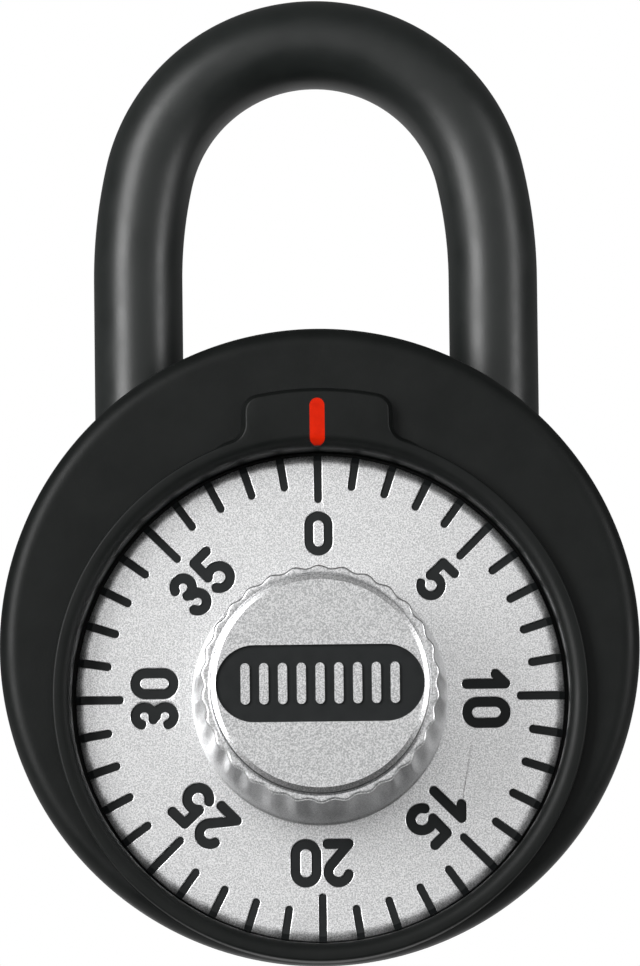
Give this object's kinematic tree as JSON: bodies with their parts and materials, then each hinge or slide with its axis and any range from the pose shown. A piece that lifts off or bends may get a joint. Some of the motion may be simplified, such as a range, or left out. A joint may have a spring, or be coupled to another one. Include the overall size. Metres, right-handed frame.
{
  "type": "combination padlock",
  "caption": "Round combination padlock with a numbered turning dial, fluted knob and round-bar shackle that lifts on its heel leg.",
  "frame": {"origin": "centre of the flat rear face, on the axis of the round case", "axes": "+Z towards the top of the shackle, -Y out of the dial towards the user, +X to the right as the user sees it"},
  "size_m": [0.05, 0.0289, 0.0774],
  "materials": {
    "black_case": "matte black powder coat, satin on the rolled edges",
    "black_cover": "matte black",
    "black_shackle": "satin black over steel",
    "red_enamel": "satin red-orange enamel",
    "black_enamel": "dark enamel fill",
    "satin_dial": "fine bead-blasted satin",
    "satin_knob": "satin plated",
    "cast_zinc": "as cast",
    "steel": "zinc plated",
    "brass": "stamped"
  },
  "bodies": {
    "case": {"front_shell": "black_case", "index_mark": "red_enamel", "rear_cover": "black_cover", "inner_frame": "cast_zinc", "base_plate": "steel", "plate_rivets": "steel", "spindle_bush": "brass", "wheel_post": "steel", "wheel_spacers": "brass", "pawl_pivot_pin": "steel", "spring_anchor": "steel", "pawl_spring": "steel"},
    "dial_assembly": {"dial_plate": "satin_dial", "scale_ticks": "black_enamel", "scale_numerals": "black_enamel", "knob": "satin_knob", "knob_cap": "satin_knob", "knob_badge": "black_enamel", "badge_ribs": "satin_knob", "spindle": "steel", "drive_cam": "brass", "cam_drive_pin": "steel", "spindle_clip": "steel", "wave_washer": "steel"},
    "middle_wheel_assembly": {"middle_wheel": "brass", "middle_wheel_pins": "steel"},
    "rear_wheel_assembly": {"rear_wheel": "brass", "rear_wheel_pin": "steel"},
    "shackle_assembly": {"shackle": "black_shackle", "heel_ring": "steel"},
    "pawl_assembly": {"pawl": "steel", "fence_bar": "steel"}
  },
  "joints": [
    {"name": "dial_spin", "type": "hinge", "parent": "case", "child": "dial_assembly", "pos_m": [0, -0.0179, -0.004], "axis": [0, -1, 0], "continuous": true},
    {"name": "middle_wheel_turn", "type": "hinge", "parent": "dial_assembly", "child": "middle_wheel_assembly", "pos_m": [0, -0.0179, -0.004], "axis": [0, -1, 0], "range_deg": [0, 327]},
    {"name": "rear_wheel_turn", "type": "hinge", "parent": "middle_wheel_assembly", "child": "rear_wheel_assembly", "pos_m": [0, -0.0179, -0.004], "axis": [0, -1, 0], "range_deg": [0, 327]},
    {"name": "shackle_lift", "type": "slide", "parent": "case", "child": "shackle_assembly", "axis": [0, 0, 1], "range_m": [0, 0.014]},
    {"name": "pawl_swing", "type": "hinge", "parent": "case", "child": "pawl_assembly", "pos_m": [0.0136, -0.0095, 0.0005], "axis": [0, -1, 0], "range_deg": [0, 18], "deforming": ["pawl_spring"]}
  ],
  "couplings": [
    {"joint": "pawl_swing", "follows": "shackle_lift", "rad_per_m": 22.4}
  ]
}
